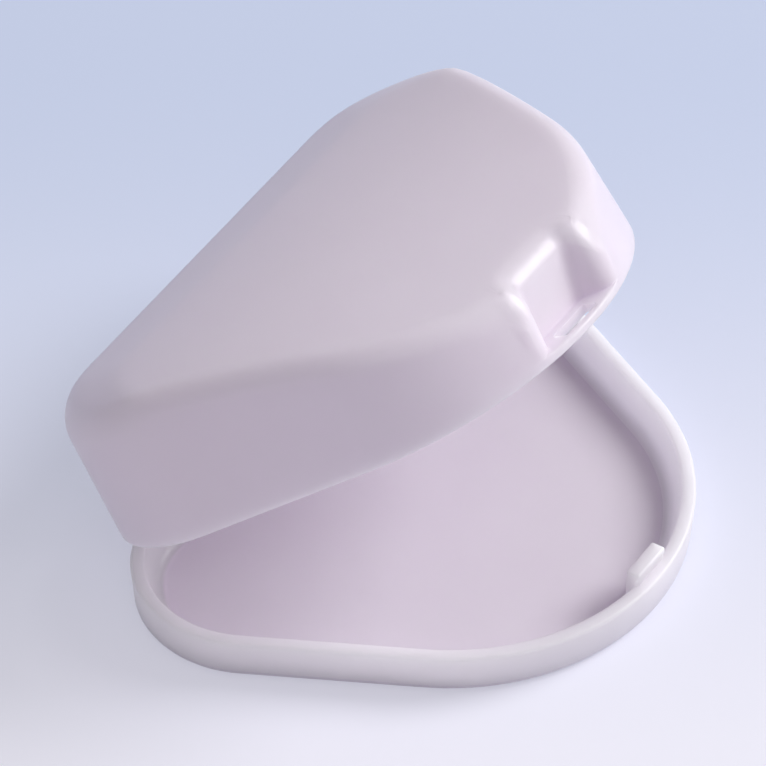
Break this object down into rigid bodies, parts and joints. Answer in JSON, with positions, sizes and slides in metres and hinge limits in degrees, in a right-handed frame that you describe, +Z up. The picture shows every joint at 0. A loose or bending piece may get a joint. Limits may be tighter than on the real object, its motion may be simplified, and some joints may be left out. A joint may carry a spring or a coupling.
{
  "type": "denture case",
  "caption": "Hinged clamshell denture case: a shallow rounded-triangle tray and a deep wedge-shaped lid with a thumb recess, held half open.",
  "frame": {"origin": "on the underside of the tray, under the middle of the tray's depth and width", "axes": "+X along the hinge pin, -Y towards the nose with the latch and the thumb recess, +Y towards the hinge, +Z up"},
  "size_m": [0.078, 0.0682, 0.05],
  "materials": {
    "tray_plastic": "moulded, satin gloss, off-white with a breath of mauve",
    "lid_plastic": "moulded, satin gloss, off-white with a breath of mauve",
    "pin_steel": "drawn stainless wire"
  },
  "bodies": {
    "tray": {"base_tray": "tray_plastic", "hinge_pin": "pin_steel"},
    "lid": {"hinged_lid": "lid_plastic"}
  },
  "joints": [
    {"name": "lid_hinge", "type": "hinge", "parent": "tray", "child": "lid", "pos_m": [0, 0.0363, 0.0072], "axis": [-1, 0, 0], "range_deg": [-33.6, 86.4]}
  ]
}
